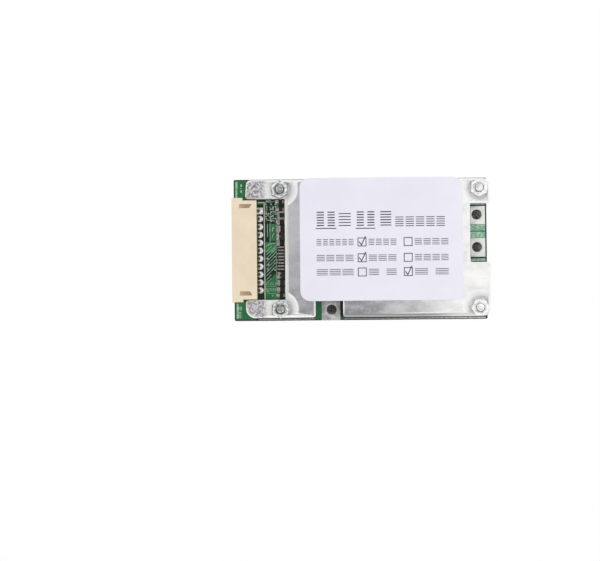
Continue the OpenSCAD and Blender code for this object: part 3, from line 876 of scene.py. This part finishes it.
def lead_lands():
    """Lands of the cell monitor's leads, each with a run that fans out towards the header."""
    low, high = span("protection_ic")
    pitch, left, right, half = 0.79, 10.95, 11.6, 0.2
    shapes = []
    for k, y in enumerate(np.arange(high[1] - 0.35, low[1], -pitch)):
        fan = 0.3 if k % 2 else -0.3
        shapes += [block(left, y - half, right, y + half), strip([(10.68, y + fan), (left, y)], 0.2)]
    return foil(shapes, 0.05)


# Painted shade: near-black patches on the board where shade falls
make_piece("board_painted_shade_ground", painted_shade_ground(), [PAINTED_SHADE])
make_piece("board_green_pour", green_pour(), [MASK])
make_piece("board_pale_pour", pour(), [COPPER])
make_piece("board_tracks", window_tracks(), [COPPER])
make_piece("board_vias", window_vias(), [RING])
make_piece("small_part_solder", small_lands(), [FROSTED])
make_piece("monitor_lands", lead_lands(), [DULL_LAND])
edge_lands = [block(6.0, -17.58, 20.2, -17.28), block(27.4, -17.58, 63.0, -17.28)]
make_piece("front_edge_land", foil(edge_lands, 0.03), [LEADS])


def board_print():
    """Printed lines on the board: one round the joint row, a tick in the right notch, and plain bars in
    the left corners."""
    lines = [
        strip([(6.1, WINDOW_REAR), (INK_LINE_X, WINDOW_REAR), (INK_LINE_X, WINDOW_FRONT)], 0.24),
        strip([(61.3, 3.15), (61.3, 4.15)], 0.2),
    ]
    bars = [(1.9, 16.3, 0.35, 0.55), (1.9, 14.8, 0.35, 0.55), (1.85, 15.6, 0.2, 0.25)]
    bars += [(0.75 + 0.32 * i, -14.6, 0.14, 0.9) for i in range(4)]
    bars += [(1.25, y, 0.8, 0.14) for y in (-15.6, -16.0, -16.4, -16.8)]
    lines += [block(x - w / 2, y - h / 2, x + w / 2, y + h / 2) for x, y, w, h in bars]
    return foil(lines, INK)


make_piece("board_print", board_print(), [BOARD_INK])


# Header ---------------------------------------------------------------------------------------------

soften("header_housing", "header_shroud", [NYLON], 0.1, steps=3)
for side in ("rear", "front"):
    soften(f"header_tab_{side}", f"header_clip_{side}", [LEADS], 0.03)


def wetted(centres):
    """Solder over the contacts' feet, past the left edge of the joints."""
    return np.where(centres[:, 0] > JOINT_X - JOINT_R, 1, 0)


for number, pin in enumerate(PINS, 1):
    soften(pin, f"header_contact_{number}", [BRASS, SOLDER], 0.05, wetted)


def solder_joint(y):
    """One joint: height falls from its middle to the round land's rim as (1 - s^2) (1 - 0.35 s), where
    s is the distance from the middle over the radius, and it leans towards the contact's foot."""
    t = full_turn(36)
    s = np.linspace(1, 0.04, 12)[:, None]
    height = JOINT_H * (1 - s ** 2) * (1 - 0.35 * s) * (1 - 0.22 * s * np.cos(t))
    x = JOINT_X + JOINT_R * s * np.cos(t)
    rings = np.stack([x, y + JOINT_R * s * np.sin(t), TOP_Z + FOIL + height], -1)
    skirt = rings[:1] * 1.0
    skirt[..., 2] = TOP_Z - SUNK
    return net(np.concatenate([skirt, rings]))


land = block(JOINT_X - JOINT_R, PIN_Y[0] - JOINT_R, JOINT_X + JOINT_R, PIN_Y[0] + JOINT_R, 0.1)
first_land = slab(land, TOP_Z - SUNK, TOP_Z + 0.12, 0.06)
make_piece("header_joints", join([*(solder_joint(y) for y in PIN_Y), first_land]), [SOLDER],
           ["header_solder"], 60)


# Label ----------------------------------------------------------------------------------------------

LABEL_LOW, LABEL_HIGH = span("label")


def label_film():
    """Flat film with round corners and a softened edge."""
    corner_r, ink_t = 2.5, 0.012
    outline = block(LABEL_LOW[0], LABEL_LOW[1], LABEL_HIGH[0], LABEL_HIGH[1], corner_r, 6)
    return slab(outline, PLATE_Z, LABEL_HIGH[2] - ink_t, 0.05)


make_piece("label_film", label_film(), [LABEL], ["label"], 60)

INK_Z = LABEL_HIGH[2]


def printed(outlines):
    """Thin ink on the label."""
    return join([slab(outline, INK_Z - 0.02, INK_Z) for outline in outlines])


def frame_lines(left, front, right, rear, line):
    """Four bars round a box."""
    return [block(left, front, right, front + line), block(left, rear - line, right, rear),
            block(left, front + line, left + line, rear - line),
            block(right - line, front + line, right, rear - line)]


BOX_X = (30.95, 42.45)
BOX_SIZE = 2.2
ROW_Y = (1.55, -2.4, -5.95)
TICKED = ((True, False), (True, False), (False, True))


def label_marks():
    """Boxes with ticks in three rows of two."""
    marks = []
    line = 0.2
    for y, row in zip(ROW_Y, TICKED):
        for left, ticked in zip(BOX_X, row):
            low = y - BOX_SIZE / 2
            marks += frame_lines(left, low, left + BOX_SIZE, low + BOX_SIZE, line)
            if ticked:
                tick = [(left + 0.35, y + 0.1), (left + 0.95, y - 0.75), (left + 2.0, y + 1.45)]
                marks.append(strip(tick, 0.24))
    return printed(marks)


def cells(left, right, y, height, count, gap, strokes, line):
    """A row of equal cells between left and right, each filled with thin level strokes."""
    pitch = (right - left + gap) / count
    rows = np.linspace(y - height / 2 + line / 2, y + height / 2 - line / 2, strokes)
    return [block(left + i * pitch, row - line / 2, left + (i + 1) * pitch - gap, row + line / 2)
            for i in range(count) for row in rows]


def label_bars():
    """Thin-lined cells in the rhythm of the label's columns, and two rules under the headline."""
    bars = []
    for y, counts in zip(ROW_Y, ((6, 4, 4), (4, 3, 4), (3, 2, 2))):
        spans = ((20.7, 29.9), (33.7, 40.6), (45.2, 53.6))
        for (left, right), count in zip(spans, counts):
            bars += cells(left, right, y, 1.5, count, 0.4 if count > 2 else 1.9, 4, 0.16)
    headline = (  # left, right, y, height, count, gap, strokes, line
        (40.4, 52.8, 6.6, 2.4, 5, 0.5, 5, 0.2), (20.8, 25.3, 7.4, 3.6, 2, 0.9, 6, 0.28),
        (30.8, 35.2, 7.4, 3.6, 2, 0.9, 6, 0.28), (26.3, 29.3, 7.2, 3.2, 1, 0, 5, 0.22),
        (36.7, 39.4, 7.4, 3.6, 1, 0, 6, 0.26),
    )
    for group in headline:
        bars += cells(*group)
    bars += [block(20.5, 4.9, 25.7, 5.12), block(30.5, 4.85, 35.4, 5.07)]
    return printed(bars)


make_piece("label_boxes", label_marks(), [LABEL_INK])
make_piece("label_bars", label_bars(), [LABEL_INK])


# Screws and nuts ------------------------------------------------------------------------------------

NUT_TURN = (34, 30, 25, 4)
NUT_FLATS = 4.0
THREAD = 0.4


def hex_nut(node, turn):
    """Nut with chamfered faces: round the axis the outline is the hexagon a / cos(t), with t the angle
    from the nearest flat's middle, held within a cone that leaves a narrow round face at each end."""
    x, y, _ = middle(node)
    (_, _, low), (_, _, high) = span(node)
    t = full_turn(96)
    flat = NUT_FLATS / 2
    hexagon = flat / np.cos((t + np.pi / 6) % (np.pi / 3) - np.pi / 6)
    steps, face_r, slope, chamfer = 7, 1.5, 2.0, 0.42
    heights = np.concatenate([np.linspace(0, chamfer, steps), np.linspace(chamfer, 0, steps)])
    rings = []
    bore, lead_in = 0.99, 0.2
    for z, r in ((low + lead_in, bore), (low, bore + lead_in)):
        rings.append((r + 0 * t, z + 0 * t))
    for i, depth in enumerate(heights):
        z = low + depth if i < steps else high - depth
        rings.append((np.minimum(hexagon, face_r + depth * slope), z + 0 * t))
    for z, r in ((high, bore + lead_in), (high - lead_in, bore)):
        rings.append((r + 0 * t, z + 0 * t))
    around = t + math.radians(turn - 30)
    points = [np.stack([x + r * np.cos(around), y + r * np.sin(around), z], -1) for r, z in rings]
    return net(points, loop=True)


def nut_shadow_ring(x, y, turn):
    """Hexagon a little wider than the nut, set into the sheet under it, that carries the nut's painted
    shadow line.
    """
    margin, below, above = 0.11, 0.05, 0.02
    corners = np.radians(turn + 60 * np.arange(6))
    reach = (NUT_FLATS / 2 + margin) / math.cos(math.pi / 6)
    outline = np.stack([x + reach * np.cos(corners), y + reach * np.sin(corners)], -1)
    return slab(outline, SEAT_Z - below, SEAT_Z + above)


def threaded_shank(x, y, low, high):
    """Screw thread: the radius is the root plus a triangle wave of (z / pitch - t / full turn), cut off
    by the chamfer at the tip."""
    sides = 40
    t = full_turn(sides)
    z = np.linspace(low, high, int((high - low) / THREAD * 8))[:, None] + 0 * t
    phase = (z / THREAD - t / (2 * np.pi)) % 1
    root, depth, tip = 0.8, 0.17, 0.74
    r = root + depth * (1 - np.abs(2 * phase - 1))
    r = np.minimum(r, tip + (high - z) * 0.9)
    rings = np.stack([x + r * np.cos(t), y + r * np.sin(t), z], -1)
    end = rings[-1:].copy()
    end[..., :2] = (end[..., :2] - (x, y)) * 0.5 + (x, y)
    end[..., 2] += 0.03
    return net(np.concatenate([rings, end]))


def screw_head(x, y, high, radius=1.9):
    """Pan head seen from below: a flat face with a cross-shaped recess whose walls lean inwards, a
    rounded shoulder and a straight side."""
    arm, half = 1.0, 0.22
    quarter = np.array([(half, -arm), (half, -half), (arm, -half)])
    turns = [np.array([(c, -s), (s, c)]) for c, s in ((1, 0), (0, 1), (-1, 0), (0, -1))]
    cross = np.concatenate([quarter @ turn.T for turn in turns])
    t = full_turn(48)
    circle = np.stack([np.cos(t), np.sin(t)], -1)
    face_r = 1.42
    flat = np.concatenate([circle * face_r, cross[::-1]])
    rim, count = len(circle), len(flat)
    loops = [list(range(rim)), list(range(rim, count))]
    result = delaunay_2d_cdt([Vector(p) for p in flat], [], loops, 2, 1e-7)
    places = {min(origin): i for i, origin in enumerate(result[3])}
    order = np.array([places[i] for i in range(count)])
    spots = np.array([list(v) for v in result[0]])[order]
    back = np.argsort(order)
    triangles = back[np.array(result[2])]
    middles = spots[triangles].mean(1)
    on_cross = ((np.abs(middles[:, 0]) < half) & (np.abs(middles[:, 1]) < arm)) | (
        (np.abs(middles[:, 1]) < half) & (np.abs(middles[:, 0]) < arm))
    triangles = triangles[~on_cross]
    depth, lean = 0.75, 0.55
    floor = level(cross[::-1] * lean, depth)
    shoulder = [level(circle * (face_r + (radius - face_r) * math.sin(a)), 0.45 * (1 - math.cos(a)))
                for a in np.linspace(0.3, np.pi / 2, 5)]
    top = level(circle * radius, high)
    points = np.concatenate([level(spots, 0.0), floor, *shoulder, top])
    faces = triangles.tolist()
    inner = np.arange(rim, count)
    deep = inner + len(cross)
    wall = np.stack([inner, np.roll(inner, -1), np.roll(deep, -1), deep], -1)
    faces += wall.tolist() + [deep.tolist()]
    start = count + len(cross)
    rows = [np.arange(rim)] + [start + rim * k + np.arange(rim) for k in range(len(shoulder) + 1)]
    for low, up in zip(rows, rows[1:]):
        faces += np.stack([low, np.roll(low, -1), np.roll(up, -1), up], -1).tolist()
    faces.append(rows[-1].tolist())
    return Surface(points + (x, y, 0), faces)


# Painted shadow lines round the nuts
lines = join([nut_shadow_ring(x, y, turn) for (x, y), turn in zip(SEATS, NUT_TURN)])
make_piece("nut_painted_shadows", lines, [NUT_SHADOW])
for number, (nut, screw, turn) in enumerate(zip(NUTS, SCREWS, NUT_TURN), 1):
    make_piece(f"hex_nut_{number}", hex_nut(nut, turn), [STEEL], [nut], 30)
    x, y, _ = middle(screw)
    low, high = span(screw)
    body = join([screw_head(x, y, UNDER_Z), threaded_shank(x, y, UNDER_Z - 0.05, high[2] - 0.03)])
    make_piece(f"pan_screw_{number}", body, [STEEL], [screw], 30)


# Wire pads ------------------------------------------------------------------------------------------

def pad_faces(node):
    """Metal on the wall of a wire pad's hole, painted near black as the hole's shade."""
    hole_x, hole_y = WIRE_HOLES[node]

    def choose(centres):
        reach = np.hypot(centres[:, 0] - hole_x, centres[:, 1] - hole_y)
        between = (centres[:, 2] > UNDER_Z) & (centres[:, 2] < TOP_Z)
        return np.where((reach < WIRE_HOLE_R + 0.02) & between, 1, 0)
    return choose


WIRE_HOLES = {"battery_pad": (24.35, -15.1), "charge_pad": (61.0, 8.45), "load_pad": (61.0, 0.25)}
WIRE_HOLE_R = 1.25
for name in WIRE_HOLES:
    soften(name, f"{name}_tinned", [LAND, BARREL_SHADE], 0.04, pad_faces(name))


# Packages -------------------------------------------------------------------------------------------

def package_faces(along, body_low, body_high):
    """Metal where a face lies beyond the moulded body along that axis, counted from the centre line."""
    def choose(centres):
        reach = np.abs(centres[:, along])
        return np.where((reach > body_high + 0.02) | (reach < body_low - 0.02), 1, 0)
    return choose


MOSFET_BODY = (4.9, 11.0)
for number in range(1, 9):
    soften(f"mosfet_{number}", f"power_transistor_{number}", [EPOXY, LEADS], 0.08,
           package_faces(1, *MOSFET_BODY))


END_FROM = 0.29


def end_faces(node):
    """Metal on the outer fifth at each end of a chip part's longer side."""
    low, high = span(node)
    size = high - low
    along = 0 if size[0] > size[1] else 1
    centre = (low + high) / 2

    def choose(centres):
        return np.where(np.abs(centres[:, along] - centre[along]) > size[along] * END_FROM, 1, 0)
    return choose


for number in range(1, 4):
    soften(f"shunt_{number}", f"shunt_{number}_body", [GLAZE, ENDS], 0.06,
           end_faces(f"shunt_{number}"))
for node in CHIPS:
    soften(node, f"{node}_body", [GLAZE, ENDS], 0.05, end_faces(node))


def lead_faces(node, along, reach, slack=0.01):
    """Metal on a package's leads, which reach out past both long sides of its moulded body."""
    low, high = span(node)
    first, last = low[along] + reach - slack, high[along] - reach + slack

    def choose(centres):
        return np.where((centres[:, along] < first) | (centres[:, along] > last), 1, 0)
    return choose


soften("protection_ic", "cell_monitor", [EPOXY, LEADS], 0.05,
       lead_faces("protection_ic", 0, 1.3, 0.02))
for number in (1, 2):
    node = f"driver_transistor_{number}"
    soften(node, f"{node}_body", [EPOXY, LEADS], 0.04, lead_faces(node, 0, 0.5))


# Place of the first balancing channel and the distance between channels
CHANNEL_X, CHANNEL_PITCH = 9.6, 4.8


def channel_faces(length):
    """Metal ends for chip parts that repeat along the channels."""
    def choose(centres):
        local = (centres[:, 0] - CHANNEL_X + CHANNEL_PITCH / 2) % CHANNEL_PITCH - CHANNEL_PITCH / 2
        return np.where(np.abs(local) > length * END_FROM, 1, 0)
    return choose


soften("balance_resistors", "bleed_resistors", [GLAZE, ENDS], 0.05, channel_faces(3.2))
soften("balance_transistors", "bleed_transistors", [EPOXY, LEADS], 0.04,
       lead_faces("balance_transistors", 1, 0.5))
soften("balance_capacitors", "filter_capacitors", [CERAMIC, ENDS], 0.04,
       channel_faces(1.6))
soften("thermal_pad", "gap_sheet", [SILICONE], 0.05)


# Stage, light and camera ----------------------------------------------------------------------------

def floor_finish():
    """Pale floor. The camera and mirror rays see it white, except where the board stands close over it:
    there the grey shows with the board's shadow, and is painted darker and mottled as painted shade."""
    finish = Finish("pale_floor", Roughness=0.9)
    rays = finish.node("ShaderNodeLightPath").socket.node
    seen = Field(finish, rays.outputs["Is Camera Ray"]) + Field(finish, rays.outputs["Is Glossy Ray"])
    seen = seen + Field(finish, rays.outputs["Is Transmission Ray"])
    open_sky = finish.node("ShaderNodeAmbientOcclusion", {"samples": 20}, Distance=4 * MM, output=1)
    white = finish.node("ShaderNodeEmission", None, (1, 1, 1, 1), 1.0)
    share = seen * open_sky.rise(0.38, 0.5)
    pale = finish.blend(finish.noise(60), paint(226, 226, 226), paint(232, 232, 232))
    shade = finish.blend(finish.noise(0.5).rise(0.35, 0.65), paint(70, 70, 69), paint(170, 170, 168))
    finish.put("Base Color", finish.blend(open_sky.rise(0.4, 0.52), shade, pale))
    mixed = finish.node("ShaderNodeMixShader", None, share, Field(finish, finish.shader.outputs[0]), white)
    finish.tree.links.new(mixed.socket, finish.tree.nodes["Material Output"].inputs["Surface"])
    return finish.material


def studio_floor():
    """Flat round floor under the board."""
    t = full_turn(64)
    radius, depth = 6000, 2
    rings = [np.stack([radius * np.cos(t), radius * np.sin(t), z + 0 * t], -1) for z in (-depth, 0)]
    mesh = bpy.data.meshes.new("studio_floor")
    surface = net(rings)
    mesh.from_pydata((surface.points * MM).tolist(), [], surface.faces)
    mesh.materials.append(floor_finish())
    floor = bpy.data.objects.new("studio_floor", mesh)
    bpy.context.scene.collection.objects.link(floor)


studio_floor()


def soft_world():
    """Even light from all round, dimmer straight overhead so that level metal keeps its grey."""
    world = bpy.data.worlds.new("soft_room")
    bpy.context.scene.world = world
    world.use_nodes = True
    nodes, links = world.node_tree.nodes, world.node_tree.links
    way = nodes.new("ShaderNodeTexCoord").outputs["Generated"]
    parts = nodes.new("ShaderNodeSeparateXYZ")
    links.new(way, parts.inputs[0])
    dim = nodes.new("ShaderNodeMapRange")
    dim.interpolation_type = "SMOOTHSTEP"
    dim_from, dim_to, strength, overhead = 0.74, 0.97, 1.15, 0.3
    for socket, value in zip(list(dim.inputs)[1:5], (dim_from, dim_to, strength, overhead)):
        socket.default_value = value
    links.new(parts.outputs["Z"], dim.inputs[0])
    rays = nodes.new("ShaderNodeLightPath")
    white = nodes.new("ShaderNodeMix")
    links.new(rays.outputs["Is Camera Ray"], white.inputs[0])
    links.new(dim.outputs[0], white.inputs[2])
    white.inputs[3].default_value = 1.0
    nodes["Background"].inputs["Color"].default_value = (1, 1, 1, 1)
    links.new(white.outputs[0], nodes["Background"].inputs["Strength"])


soft_world()


def softbox(name, at, aim, size, power):
    """Square area lamp in millimetres, turned to its aim."""
    lamp = bpy.data.lights.new(name, "AREA")
    lamp.size = size * MM
    lamp.energy = power
    holder = bpy.data.objects.new(name, lamp)
    bpy.context.scene.collection.objects.link(holder)
    holder.location = Vector(at) * MM
    way = Vector(aim) - Vector(at)
    holder.rotation_euler = way.to_track_quat("-Z", "Y").to_euler()
    holder.visible_camera = False


softbox("overhead_right", (60, 6, 170), (60, 6, 0), 60, 0.0215)

CAMERA_TILT = math.radians(2.5)
CAMERA_ROLL = math.radians(-0.553)
CAMERA_AIM = (16.477, -7.724)
CAMERA_DISTANCE = 700
VIEW_WIDTH = 150.7


def set_camera():
    """Camera almost straight above, leaning a little to the front and turned a little."""
    camera = bpy.data.cameras.new("camera")
    camera.sensor_width = 36
    camera.lens = camera.sensor_width * CAMERA_DISTANCE / VIEW_WIDTH
    camera.clip_start, camera.clip_end = 0.01, 20
    view = Vector((0, math.sin(CAMERA_TILT), -math.cos(CAMERA_TILT)))
    across = Vector((1, 0, 0))
    up = across.cross(view)
    across, up = (across * math.cos(CAMERA_ROLL) + up * math.sin(CAMERA_ROLL),
                  up * math.cos(CAMERA_ROLL) - across * math.sin(CAMERA_ROLL))
    aim = Vector((BOARD_LEFT + CAMERA_AIM[0] * MM, CAMERA_AIM[1] * MM, TOP_Z * MM))
    holder = bpy.data.objects.new("camera", camera)
    turn = Matrix((across, up, -view)).transposed().to_4x4()
    holder.matrix_world = Matrix.Translation(aim - view * CAMERA_DISTANCE * MM) @ turn
    bpy.context.scene.collection.objects.link(holder)
    bpy.context.scene.camera = holder


set_camera()
bpy.context.scene.view_settings.view_transform = "Standard"
